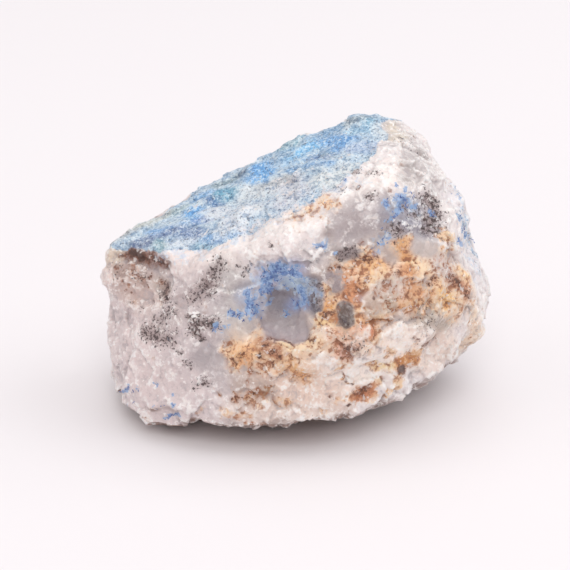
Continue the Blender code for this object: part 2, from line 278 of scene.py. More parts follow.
crustZones = {  # the crust's own colours, laid one over another like the quartz's
    "back": around(5, 0.8, (200, 58), (170, 62), (185, 50), colour=(156, 186, 212)),
    "back teal": around(2.5, 0.6, (185, 50), colour=(134, 178, 186)),
    "back patch": around(4, 0.8, (172, 8), (166, -4), colour=(140, 170, 206)),
    "right wall": path(3, 0.8, (461, 215), (480, 262), colour=(190, 206, 224)),
    "tip": path(2.4, 1, (105, 246), (124, 236), colour=(192, 184, 174)),
    "tip slate": path(0.8, 0.8, (108, 244), (116, 239), colour=(118, 122, 136)),
    "far left rim": path(1.3, 0.9, (128, 231), (150, 222), (166, 214), colour=(200, 202, 194)),
    "left slate": path(1.1, 0.95, (134, 244), (150, 242), colour=(116, 132, 164)),
    "left blue": path(1, 0.8, (140, 239), (152, 236), colour=(128, 150, 184)),
    "slate band": path(1.5, 0.95, (160, 233), (178, 231), (196, 232), colour=(120, 144, 184)),
    "azure left": path(1.1, 0.9, (151, 230), (158, 231), colour=(132, 178, 224)),
    "azure shelf": path(1, 0.8, (168, 226), (186, 222), colour=(146, 184, 222)),
    "low pale": path(1.2, 0.9, (170, 244), (192, 244), colour=(214, 222, 232)),
    "teal low": path(0.9, 0.9, (158, 245), (164, 248), colour=(132, 172, 184)),
    "tongue": path(1.2, 0.9, (197, 247), (204, 251), colour=(156, 192, 212)),
    "low patch": path(1, 0.9, (205, 239), (220, 237), (235, 232), colour=(126, 172, 216)),
    "rim left": path(1.2, 0.8, (172, 211), (186, 203), colour=(178, 198, 200)),
    "bright": path(1.8, 1, (190, 211), (203, 213), colour=(108, 180, 236)),
    "bright foot": path(1, 0.9, (196, 221), (210, 216), colour=(98, 144, 204)),
    "mid blue": path(1.4, 0.9, (196, 195), (211, 191), colour=(134, 180, 220)),
    "deep dot": path(1.1, 1, (210, 198), (218, 203), colour=(84, 128, 176)),
    "teal": path(1.7, 1, (222, 191), (230, 195), colour=(110, 170, 196)),
    "far grey": path(1.1, 0.9, (216, 184), (234, 177), colour=(130, 154, 164)),
    "pale middle": path(2.6, 0.95, (216, 209), (250, 206), (232, 223), colour=(216, 220, 227)),
    "far slate": path(1.3, 0.9, (243, 172), (255, 171), colour=(118, 142, 166)),
    "azure middle": path(1.8, 1, (260, 167), (267, 174), (257, 179), colour=(116, 178, 230)),
    "pale right": path(2.6, 0.95, (246, 194), (280, 186), colour=(214, 220, 224)),
    "speckled": path(2.4, 0.9, (286, 182), (300, 190), (285, 200), colour=(206, 206, 214)),
    "grey seam": path(0.9, 0.8, (258, 187), (278, 180), (292, 172), colour=(182, 184, 186)),
    "pale drops": path(2.2, 0.95, (320, 178), (336, 182), (344, 172), colour=(218, 222, 222)),
    "ice": path(1.4, 0.9, (286, 162), (304, 158), colour=(176, 208, 234)),
    "azure drop": path(0.9, 0.9, (290, 169), (296, 168), colour=(116, 164, 206)),
    "azure rim": path(1.9, 1, (292, 150), (304, 148), (318, 144), colour=(134, 196, 236)),
    "rim slate": path(0.9, 0.8, (282, 153), (290, 151), colour=(140, 166, 190)),
    "mid slate": path(1.2, 0.9, (313, 156), (326, 156), colour=(96, 132, 178)),
    "mid dark": path(0.8, 0.8, (326, 152), (332, 151), colour=(120, 140, 152)),
    "azure low": path(1, 0.8, (308, 163), (322, 163), (330, 164), colour=(128, 176, 220)),
    "rim azure": path(1.3, 0.9, (324, 132), (338, 128), colour=(130, 170, 204)),
    "right azure": path(1.8, 0.95, (326, 141), (346, 140), (338, 147), colour=(116, 174, 226)),
    "peak slate": path(1.2, 0.9, (350, 123), (366, 118), colour=(138, 152, 162)),
    "peak azure": path(1.5, 0.95, (370, 120), (374, 126), colour=(136, 186, 212)),
    "ice right": path(1.4, 0.9, (352, 132), (366, 130), colour=(170, 206, 228)),
    "lavender": path(1.8, 0.9, (352, 148), (374, 144), colour=(178, 196, 222)),
    "peak pale": path(1.4, 0.9, (380, 124), (384, 136), colour=(206, 214, 220)),
}
rustTint = (234, 203, 168)
rustZones = {  # the stain's own colours
    "upper cream": path(1.9, 0.95, (362, 271), (385, 268), (410, 266), colour=(236, 184, 128)),
    "upper peach": path(1.6, 0.9, (343, 270), (358, 275), colour=(232, 190, 156)),
    "tongue": path(1.1, 0.9, (402, 245), (406, 260), colour=(226, 174, 120)),
    "tongue right": path(1.6, 0.9, (421, 264), (432, 268), colour=(246, 218, 184)),
    "left orange": path(1.6, 1, (346, 284), (356, 290), (352, 297), colour=(220, 158, 116)),
    "centre cream": path(1.6, 0.9, (370, 284), (384, 278), colour=(242, 212, 172)),
    "pale island": path(2.2, 1, (386, 290), (398, 292), (400, 281), colour=(216, 198, 188)),
    "lilac": path(1.2, 1, (364, 298), (375, 300), colour=(170, 152, 156)),
    "right orange": path(1.2, 0.9, (406, 271), (415, 280), colour=(218, 158, 108)),
    "right low orange": path(1.5, 0.9, (414, 290), (428, 293), colour=(220, 166, 124)),
    "right cream": path(1.3, 0.9, (424, 276), (432, 284), colour=(246, 218, 186)),
    "amber": path(1.3, 0.9, (444, 292), (450, 304), colour=(240, 192, 126)),
    "right brown": path(1.2, 0.9, (453, 279), (463, 287), colour=(184, 134, 106)),
    "far right": path(1.3, 0.9, (467, 289), (470, 299), colour=(210, 160, 134)),
    "right grey": path(1.7, 1, (440, 262), (450, 271), colour=(210, 196, 192)),
    "far cream": path(1.6, 0.9, (463, 262), (468, 273), colour=(248, 216, 172)),
    "flank": path(2.4, 0.9, (466, 310), (474, 326), colour=(240, 208, 178)),
    "low peach": path(1.3, 0.9, (365, 314), (376, 318), colour=(222, 174, 130)),
    "low amber": path(1.6, 0.9, (395, 306), (405, 314), (413, 309), colour=(224, 176, 130)),
    "low orange": path(0.9, 0.9, (391, 317), (396, 325), colour=(202, 138, 94)),
    "low grey": path(1.4, 1, (376, 308), (388, 305), colour=(202, 188, 172)),
    "streak": path(1, 1, (361, 330), (373, 333), colour=(202, 128, 92)),
    "pink": path(1.6, 0.9, (334, 337), (356, 337), colour=(230, 184, 158)),
    "pink low": path(1.4, 0.9, (338, 351), (347, 356), colour=(230, 186, 172)),
    "grey low": path(1.3, 1, (352, 353), (361, 356), colour=(186, 166, 160)),
    "step cream": path(1.3, 1, (312, 324), (330, 325), colour=(246, 214, 162)),
    "step amber": path(1.1, 0.9, (325, 306), (333, 310), colour=(224, 164, 94)),
    "step brown": path(0.8, 0.9, (328, 316), (338, 321), colour=(172, 104, 58)),
    "step white": path(1, 0.9, (314, 332), (330, 332), colour=(238, 218, 204)),
    "ledge cream": path(1.9, 1, (288, 350), (312, 347), colour=(248, 218, 178)),
    "ledge low": path(2, 0.9, (296, 358), (322, 353), colour=(240, 214, 186)),
    "ledge left": path(1.5, 0.9, (243, 353), (254, 349), colour=(240, 190, 140)),
    "ledge brown": path(1.3, 1, (262, 344), (270, 350), (277, 355), colour=(184, 134, 104)),
    "ledge orange": path(1.1, 0.9, (243, 362), (252, 363), colour=(236, 184, 134)),
    "ledge foot": path(1.8, 0.9, (260, 368), (276, 375), colour=(240, 206, 174)),
    "amber grain": path(1.3, 1, (296, 367), (300, 375), colour=(226, 178, 128)),
    "foot grey": path(1.6, 1, (252, 378), (258, 385), colour=(188, 168, 160)),
    "groove": path(0.9, 0.9, (264, 390), (258, 398), colour=(150, 112, 78)),
    "groove left": path(1.1, 0.9, (232, 402), (242, 406), colour=(186, 146, 120)),
    "foot line": path(0.9, 0.9, (230, 418), (260, 422), colour=(196, 154, 130)),
    "right foot": path(1.5, 1, (401, 363), (413, 360), colour=(200, 134, 66)),
    "ochre": path(1.2, 0.9, (378, 363), (387, 366), colour=(230, 208, 164)),
    "foot patch": path(1.3, 1, (358, 399), (369, 391), colour=(200, 128, 84)),
    "knob": path(4, 1, (110, 262), (146, 276), colour=(204, 172, 154)),
    "back": around(3, 0.8, (158, -8), (196, -8), colour=(222, 166, 120)),
}
veilMarks = {  # a thin blue bloom on the quartz
    "below the crust": path(2.8, 0.75, (168, 252), (215, 246), (262, 224), (305, 198), (350, 178)),
    "left tip": path(1.2, 0.6, (108, 247), (135, 238)),
    "pocket crown": path(2.4, 1.1, (262, 279), (280, 272), (300, 281), (304, 296)),
    "pocket left": path(1.9, 0.8, (250, 294), (258, 310)),
    "left flakes": path(1.2, 0.7, (222, 331), (236, 314)),
    "small pair": path(1.1, 0.7, (312, 240), (322, 243)),
    "right patch": path(2, 0.75, (394, 212), (402, 202), (416, 207)),
    "right tail": path(1.5, 1, (377, 247), (386, 237)),
    "right wall": path(2.4, 0.7, (455, 190), (464, 225), (478, 268)),
    "back veil": around(5, 0.7, (200, 40), (175, 30), (150, 42)),
}
blueMarks = {
    "crown": path(1.1, 1.3, (270, 276), (276, 272), (281, 270)),
    "crown left": path(1, 1, (265, 275), (267, 281), (268, 285)),
    "crown plate": path(1.3, 0.95, (286, 273), (296, 275)),
    "crown low": path(0.9, 1.1, (264, 292), (271, 289)),
    "crown dots": dots(0.4, 0.8, (284, 285), (287, 288), (281, 282)),
    "left streaks": path(0.85, 1, (248, 292), (252, 298), (250, 303), (257, 306), (259, 311), (254, 314)),
    "drop": path(0.55, 0.8, (267, 301), (271, 303)),
    "right deep": path(0.8, 0.9, (299, 290), (302, 295), (304, 300)),
    "right low": path(0.9, 0.8, (294, 307), (305, 303)),
    "sill": path(0.45, 0.9, (283, 313), (288, 314)),
    "left beads": dots(0.35, 0.9, (245, 311), (249, 312), (236, 319), (252, 320)),
    "left flake": path(0.75, 1, (231, 312), (236, 315), (240, 312)),
    "far left flake": path(0.6, 1, (215, 327), (225, 328)),
    "sill left": path(0.45, 1, (245, 312), (254, 314)),
    "small pair": path(0.6, 1, (312, 246), (322, 248)),
    "small dots": dots(0.42, 1, (336, 253), (250, 320), (345, 180), (471, 236), (475, 250)),
    "right dot": path(0.6, 1, (386, 203), (390, 204)),
    "right patch": path(0.95, 1.1, (399, 198), (404, 201), (402, 206)),
    "right streaks": dots(0.5, 1, (397, 185), (406, 190), (417, 205), (414, 207)),
    "right tail": path(0.55, 0.9, (399, 211), (394, 217), (389, 222)),
    "right tail end": path(0.5, 0.8, (384, 228), (388, 230)),
    "light tail": path(0.8, 0.6, (377, 247), (386, 237)),
    "right pair": path(0.6, 1, (429, 210), (434, 214)),
    "wall top": path(0.5, 0.75, (454, 180), (457, 190), (459, 197)),
    "wall high": path(0.55, 0.9, (460, 215), (461, 223)),
    "wall upper": path(0.75, 1, (462, 228), (466, 235)),
    "wall lower": path(0.55, 1, (457, 240), (461, 245)),
    "needle low": path(0.42, 1.2, (165, 419), (171, 416), (178, 414)),
    "needle left": path(0.38, 1.2, (119, 392), (128, 389)),
    "needle dots": dots(
        0.36, 1.1, (156, 381), (158, 386), (153, 407), (175, 406), (125, 404), (113, 394), (136, 389),
        (172, 396),
    ),
    "back spray": around(1.6, 1, (176, 16), (170, 6), (184, 2)),
    "back dots": around(1, 1, (140, 20), (136, 10)),
    "left side dots": around(0.9, 1, (238, 12), (234, 0)),
}
rustMarks = {
    "ledge band": path(
        2.5, 1, (240, 354), (262, 346), (296, 346), (318, 334), (336, 318), (347, 296), (357, 276),
    ),
    "upper band": path(2.7, 1, (352, 270), (378, 266), (403, 262), (425, 262), (447, 268), (463, 282)),
    "right field": path(3.2, 0.85, (395, 285), (420, 290), (446, 296), (462, 304)),
    "lower field": path(2.6, 0.7, (344, 324), (375, 320), (402, 305), (428, 300)),
    "tongue": path(1.3, 1, (404, 244), (408, 262)),
    "ledge step": path(1.6, 1, (322, 300), (330, 314)),
    "orange high": path(0.9, 1, (441, 234), (451, 233)),
    "pink streaks": path(1.6, 0.9, (359, 328), (376, 335)),
    "pink crumbs": path(1.6, 0.85, (334, 346), (348, 356), (362, 352)),
    "strong ledge": path(2.2, 1.15, (259, 345), (270, 356), (284, 364)),
    "left crumbs": path(1.6, 1, (239, 352), (248, 360), (254, 366)),
    "foot groove": path(1.5, 0.7, (236, 400), (258, 396), (263, 388)),
    "amber grains": path(1.4, 0.85, (290, 367), (300, 370), (303, 377)),
    "amber low": path(1.2, 0.8, (280, 404), (291, 402)),
    "foot dots": dots(0.6, 1, (219, 398), (197, 410), (217, 412), (225, 412), (322, 413), (338, 403)),
    "foot line": path(0.8, 0.8, (225, 416), (245, 420), (264, 423)),
    "right foot": path(1.7, 1, (395, 366), (405, 360), (416, 356)),
    "ochre": path(1, 0.9, (376, 363), (386, 368)),
    "rust dots": dots(0.5, 1, (369, 363), (375, 366), (345, 378), (350, 383)),
    "foot patch": path(1.4, 0.95, (356, 398), (364, 396), (375, 390)),
    "foot edge": path(0.8, 1, (386, 396), (399, 389), (398, 382)),
    "short arc": path(0.6, 1, (336, 370), (352, 367)),
    "brown bead": path(0.9, 1, (386, 349), (392, 354)),
    "right flank": path(2, 0.5, (470, 312), (474, 330), (466, 342)),
    "shoulder peach": path(1.8, 0.62, (302, 211), (316, 207), (328, 202)),
    "shoulder left": path(1.2, 0.42, (272, 220), (298, 215)),
    "knob": path(3.2, 0.2, (110, 262), (124, 276), (146, 272)),
    "back stain": around(5, 0.85, (158, -8), (175, -14), (196, -8)),
    "back right stain": around(4, 0.9, (118, 4), (128, -10)),
    # painted shade: rust brown on the underside, so the floor's shadow beneath comes out darker and warmer
    "underside shade": around(7, 0.6, (20, -70), (120, -75)),
    "back left tint": around(3.4, 0.6, (222, 6), (232, -8)),
}
brownMarks = {
    "tip spot": path(0.95, 1.7, (130, 252), (141, 255)),
    "tip streak": path(0.6, 1, (142, 258), (148, 263)),
    "knob spots": path(1.1, 1, (151, 256), (161, 261)),
    "tip line": path(0.5, 0.9, (104, 252), (118, 255), (130, 254)),
    "knob streaks": path(0.7, 0.6, (132, 269), (141, 279), (147, 288)),
    "knob patch": path(1, 0.45, (119, 289), (131, 293)),
    "knob right": path(0.8, 0.65, (160, 281), (165, 290), (164, 298)),
    "knob wash": path(1.6, 0.3, (122, 268), (135, 270), (140, 282)),
    "knob dots": dots(0.55, 0.9, (135, 272), (115, 266), (122, 281), (150, 276)),
    "rim line": path(0.35, 0.8, (401, 128), (414, 137)),
    "upper dots": dots(0.55, 1, (364, 257), (371, 259), (376, 257), (361, 242), (331, 270), (338, 267)),
    "high dots": dots(0.5, 1, (446, 228), (443, 239), (448, 242), (389, 190), (357, 187)),
    "right spots": path(0.8, 0.9, (451, 278), (456, 282), (461, 286)),
    "right spots low": path(0.9, 0.85, (463, 288), (470, 295)),
    "middle dots": dots(0.5, 1, (415, 278), (436, 277), (433, 286), (375, 297), (398, 272), (384, 281)),
    "step lines": path(0.5, 1, (325, 318), (332, 315), (338, 311)),
    "streak": path(0.5, 1.2, (346, 349), (356, 349)),
    "ledge dots": dots(
        0.6, 1, (264, 344), (261, 355), (272, 352), (278, 359), (273, 365), (236, 360), (243, 355),
    ),
    "groove": path(0.6, 0.6, (232, 402), (246, 399), (262, 394)),
    "right low": path(0.7, 0.9, (424, 344), (433, 337)),
    "right low dots": dots(0.5, 1, (412, 336), (416, 339), (389, 351), (330, 396), (349, 406)),
    "foot patch core": path(0.9, 0.8, (358, 394), (368, 390)),
    "black bead": path(0.8, 1.4, (401, 371), (405, 373)),
    "foot arc": path(0.35, 0.9, (342, 373), (351, 384)),
    "pocket sill": path(0.45, 0.8, (266, 337), (277, 338), (290, 343)),
    "pocket end": path(0.7, 0.8, (307, 336), (313, 340)),
    "back spots": around(1.6, 0.8, (168, -6), (180, -10)),
    "back bead": around(1, 0.9, (205, 14), (208, 10)),
}
speckMarks = {
    "left stair": path(1.5, 1, (220, 262), (215, 270), (211, 280), (205, 285)),
    "left stair low": path(1.3, 0.8, (212, 290), (198, 298), (190, 300)),
    "left chain": path(1.2, 0.9, (163, 291), (169, 296), (164, 300)),
    "left nest": path(1.2, 0.9, (155, 320), (162, 317), (170, 311)),
    "left nest low": path(1.5, 1.1, (146, 332), (156, 337), (169, 340)),
    "left dots": dots(0.7, 1, (188, 317), (180, 351), (176, 333), (140, 308), (128, 302), (150, 300)),
    "middle nest": path(1.1, 1.3, (195, 322), (204, 323), (213, 323)),
    "middle nest low": path(1.1, 1.2, (193, 331), (200, 337)),
    "ring": path(0.6, 0.9, (183, 364), (187, 362), (190, 367)),
    "low nest": path(1, 0.9, (195, 386), (204, 382)),
    "right cloud": path(1.8, 1.1, (425, 200), (434, 204), (437, 214), (430, 221)),
    "right cloud low": path(1.1, 1.1, (426, 229), (436, 230)),
    "right slate": path(1.3, 0.9, (409, 211), (417, 217)),
    "grain edge": path(1.2, 1, (392, 226), (400, 230), (396, 235)),
    "shoulder dots": dots(0.8, 1, (370, 196), (374, 195), (351, 248), (356, 247), (343, 253)),
    "belt cloud": path(1.2, 0.8, (342, 256), (356, 254)),
    "rim dots": dots(0.6, 1, (270, 244), (238, 266), (253, 264), (269, 269), (247, 269), (244, 275)),
    "crust dots": dots(
        0.8, 1, (228, 215), (221, 215), (245, 207), (250, 192), (365, 147), (386, 138), (401, 140),
        (356, 171),
    ),
    "crust dots low": dots(
        0.8, 1, (369, 173), (380, 174), (326, 189), (332, 187), (340, 189), (292, 200),
    ),
    "far rim": path(1.2, 0.7, (345, 124), (356, 122), (366, 119)),
    "crust tip": path(2, 0.8, (106, 244), (116, 238), (128, 235)),
    "peak dots": path(1.5, 0.5, (392, 139), (404, 138), (420, 152)),
    "pocket fringe": path(1.3, 0.8, (312, 284), (318, 300)),
    "low right cloud": path(2, 0.6, (428, 318), (436, 326)),
    "pink dots": path(1.3, 0.6, (346, 344), (362, 346)),
    "knob": path(2.6, 0.32, (112, 268), (130, 280), (146, 276)),
    "back cloud": around(2.6, 0.8, (150, 6), (156, 16), (146, 24)),
    "back nest": around(2.2, 0.8, (208, 2), (214, 10)),
    "left side nest": around(2, 0.7, (248, 12), (242, 20)),
}
glassMarks = {
    "pocket": path(1.9, 1.1, (268, 316), (272, 331), (299, 333), (302, 314)),
    "pocket heart": path(2.1, 1.3, (280, 298), (292, 298)),
    "smoky bead": path(1.15, 1.8, (345, 309), (347, 319)),
    "dark flank": path(1.3, 1.3, (312, 284), (317, 304)),
    "shoulder grain": path(2.8, 0.7, (350, 216), (384, 208)),
    "right grain": path(1.7, 1, (420, 246), (431, 251)),
    "middle grain": path(1.7, 0.9, (384, 252), (392, 258)),
    "small dark grain": path(1.2, 1.1, (344, 254), (354, 252)),
    "between grain": path(1.2, 0.8, (332, 282), (338, 290)),
    "left window": path(2.2, 1.1, (200, 357), (216, 365)),
    "left window low": path(2, 0.8, (221, 378), (228, 384)),
    "sill": path(2, 0.8, (232, 328), (246, 336)),
    "rust window": path(1.3, 0.9, (368, 298), (376, 304)),
    "green window": path(1.6, 1, (434, 320), (442, 326)),
    "upper left": path(2.2, 0.5, (240, 268), (256, 280)),
    "peak grain": dots(1.1, 0.9, (411, 165), (406, 178), (330, 236)),
    "back window": around(3.4, 1, (188, 22), (192, 14)),
    "back right window": around(2.8, 0.9, (112, 24), (120, 18)),
    "left side window": around(2.6, 0.8, (250, 16)),
}
snowMarks = {  # the whitest, most sugary quartz
    "shoulder": path(2.8, 0.8, (214, 248), (255, 236), (300, 222), (345, 204), (385, 182), (425, 168)),
    "foot face": path(3.4, 1, (310, 392), (345, 380), (372, 372), (392, 346)),
    "foot bright": path(1.8, 1.1, (354, 378), (374, 378), (394, 374)),
    "right slope": path(3.4, 0.7, (400, 125), (430, 160), (448, 200)),
    "sugar": path(1.6, 1, (424, 300), (436, 304)),
    "window edge": path(0.8, 1, (192, 349), (222, 349)),
    "left face": path(4, 0.5, (140, 352), (170, 372), (190, 398)),
    "right wall": path(2.4, 0.8, (476, 252), (484, 285), (482, 305)),
    "foot right": path(1.8, 0.8, (412, 372), (434, 356)),
    # painted light: the bottom edge is made whiter, standing in for light bounced up from the floor
    "bottom rim glow": path(1, 0.8, (268, 424), (290, 428), (310, 424)),
    "back snow": around(6, 0.7, (190, -16), (160, 20), (120, 34)),
}


def findPlaces(mark, camera, tree):  # the points of the skin that a mark's path names
    places = []
    for aim in mark["places"]:
        start, direction = rayFromAround(*aim) if mark["kind"] == "around" else rayThrough(camera, aim)
        place, normal, _, _ = tree.ray_cast(start, direction)
        if place is not None:
            places.append((place, normal))
    return places


def nearPath(mark, points, camera, tree):  # how far each point is from a mark's path
    places = [np.array(place) for place, _ in findPlaces(mark, camera, tree)]
    near = np.full(len(points), 1e9)
    ends = places if mark["kind"] == "dots" else places[1:] or places
    for start, end in zip(places, ends):
        along = end - start
        share = np.clip((points - start) @ along / max(along @ along, 1e-12), 0, 1)
        near = np.minimum(near, np.linalg.norm(points - start - share[:, None] * along, axis=1))
    return near


def markField(marks, points, camera, tree):  # 1 on a mark's path, falling to 0 at its reach
    field = np.zeros(len(points))
    for mark in marks.values():
        near = nearPath(mark, points, camera, tree)
        fall = np.clip(1 - near / (mark["reach"] * mm * 1.25), 0, 1) ** 0.8
        field = np.maximum(field, mark["weight"] * fall)
    return field


# Broken quartz: grains with flat faces that lean their own way. Sizes in millimetres.
grainLayers = {
    "coarse": {"spacing": 4.8, "lean": 0.17, "step": 0.10, "seed": 11},
    "middle": {"spacing": 2.2, "lean": 0.20, "step": 0.07, "seed": 12},
    "sugar": {"spacing": 0.9, "lean": 0.20, "step": 0.035, "seed": 13},
}
reliefMarks = {
    "ledge lip": path(1.6, 0.6, (244, 350), (268, 343), (300, 346), (322, 337), (344, 322)),
    "upper lip": path(1.5, 0.5, (352, 268), (378, 262), (404, 258)),
    "window edge": path(1, 0.5, (190, 350), (222, 348), (232, 352)),
    "tip": dots(1.7, 0.9, (109, 250), (113, 246), (118, 242)),
    "peak": path(2.4, 0.5, (358, 121), (372, 117), (386, 118)),
    "foot rib": path(1.2, 0.25, (248, 420), (288, 428), (330, 418), (372, 404)),
    "foot block": path(1.8, 0.5, (356, 376), (376, 380), (392, 374)),
    "rust knobs": dots(1.6, 0.5, (370, 282), (392, 270), (420, 268), (440, 292), (402, 300), (362, 304)),
    "ledge knobs": dots(1.5, 0.45, (256, 356), (284, 352), (318, 346), (336, 336), (366, 342)),
}
hollowMarks = {
    "pocket": path(1.5, 0.6, (266, 302), (266, 331), (300, 333), (302, 300)),
    "pocket heart": path(2.6, 0.6, (280, 312), (290, 312)),
    "left window": path(2, 0.3, (203, 358), (217, 364)),
    "left notch": path(3.4, 1.3, (110, 304), (108, 320), (108, 350), (113, 378)),
    "left edge": around(3, 0.6, (276, -2), (272, 6), (272, -8)),
    "far rim": dots(1.8, 0.4, (190, 196), (296, 143)),
    "rim nub": around(2, 0.9, (255, 13)),
    "pocket foot": path(0.9, 0.6, (266, 338), (290, 343), (310, 338)),
    "foot groove": path(1.2, 0.7, (226, 398), (246, 399), (264, 394)),
    "under the tip": path(1.3, 0.7, (128, 254), (146, 260), (162, 264)),
    "knob foot": path(1.6, 0.6, (106, 292), (122, 300), (140, 304)),
    "smoky bead": path(1.2, 0.4, (346, 314), (347, 319)),
    "bead rim": path(0.8, 0.5, (336, 322), (350, 325), (358, 318)),
    "rust pits": dots(1.3, 0.6, (384, 290), (412, 282), (430, 282), (376, 314), (350, 294), (452, 300)),
    "streak pits": path(1, 0.5, (360, 326), (378, 322), (392, 314)),
    "bead pit": path(1.2, 0.5, (398, 366), (408, 374)),
    "patch pit": path(1.3, 0.45, (356, 394), (374, 388)),
    "right belt": path(1.2, 0.5, (372, 252), (392, 262), (414, 262)),
}
calmMarks = {
    "left face": path(6.5, 0.75, (130, 318), (150, 355), (142, 392), (185, 380), (200, 345)),
    "centre": path(4, 0.4, (225, 290), (240, 320)),
    "pocket": path(2.4, 1, (268, 284), (300, 284), (298, 306), (270, 306)),
    "bead": path(2.2, 1, (345, 309), (347, 319)),
    "dark flank": path(1.6, 1, (314, 284), (318, 304)),
    "pink grey": path(4.4, 0.95, (345, 222), (380, 212)),
    "shoulder": path(3.4, 0.65, (190, 262), (255, 240), (320, 214), (390, 186)),
    "foot": path(3, 0.35, (300, 392), (340, 386), (400, 348)),
}
tintSets = {
    "tint": (baseTint, tintZones),
    "crustTint": (crustTint, crustZones),
    "rustTint": (rustTint, rustZones),
}
dentScales = {  # rounds of smoothing to compare with, and the depth in millimetres that counts as full
    "dentFine": {"rounds": 8, "depth": 0.09},
    "dentBroad": {"rounds": 160, "depth": 0.55},
}


def grainLayer(points, normals, layer):  # height and tint at each point, from the nearest grain
    chance = np.random.default_rng(layer["seed"])
    spacing = layer["spacing"] * mm
    area = len(points) * skin["voxel"] ** 2
    picked = chance.choice(len(points), int(area / spacing**2), replace=False)
    tree = kdtree.KDTree(len(picked))
    for index, point in enumerate(picked):
        tree.insert(points[point], index)
    tree.balance()
    nearest = np.array([tree.find(point)[1] for point in points])
    lean = chance.normal(size=(len(picked), 3))
    lean *= layer["lean"] / np.linalg.norm(lean, axis=1)[:, None]
    offset = chance.uniform(-1, 1, len(picked)) * layer["step"] * mm
    height = np.einsum("ij,ij->i", points - points[picked[nearest]], lean[nearest]) + offset[nearest]
    tint = chance.uniform(0, 1, len(picked))[nearest]
    return height, tint


def tintField(base, zones, loose, tight, camera, tree):  # the soft colour at each point
    tint = np.tile(srgb(*base), (len(loose), 1))
    for zone in zones.values():
        near = nearPath(zone, tight if zone["reach"] < 2.5 else loose, camera, tree)
        share = zone["weight"] * (1 - smoothStep(0.3, 1.25, near / (zone["reach"] * mm)))
        tint += share[:, None] * (np.array(srgb(*zone["colour"])) - tint)
    return tint


def dents(stone, rounds, depth):  # 0.5 where the surface is level, 1 in its hollows, 0 on its edges
    ease = stone.modifiers.new("ease", "SMOOTH")
    ease.factor = skin["ease"]
    ease.iterations = rounds
    smooth = pointsOf(meshFrom(stone))
    stone.modifiers.clear()
    offset = np.einsum("ij,ij->i", smooth - pointsOf(stone.data), normalsOf(stone.data))
    return np.clip(0.5 + offset / (2 * depth * mm), 0, 1)


def insideBox(points):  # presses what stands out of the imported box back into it
    low, high = np.array(cadBox[0]), np.array(cadBox[1])
    soft = 0.6 * mm
    over = np.maximum(points - (high - soft), 0)
    under = np.maximum(low + soft - points, 0)
    under[:, 2] = 0
    pressed = points - over + soft * np.tanh(over / soft) + under - soft * np.tanh(under / soft)
    pressed[:, 2] = np.maximum(pressed[:, 2], 0)
    return pressed


def pressInside(shape):
    pressed = insideBox(np.array([vert.co[:] for vert in shape.verts]))
    for vert, place in zip(shape.verts, pressed):
        vert.co = place


carving = {  # lengths in millimetres
    "wander": 2.2,  # how long the waves in the marks' edges are, and how far they swing
    "loose": 1.1,
    "tight": 0.35,
    "sink": 0.15,  # how far below the solid's surface the grains start
    "ripple": 1.6,
    "rippleDepth": 0.05,
    "still": 0.8,  # the underside stays where it rests, up to here
    "underShadeShare": 0.85,  # how strongly the painted brown shade darkens the underside, so the floor's shadow beneath comes out darker and warmer
}


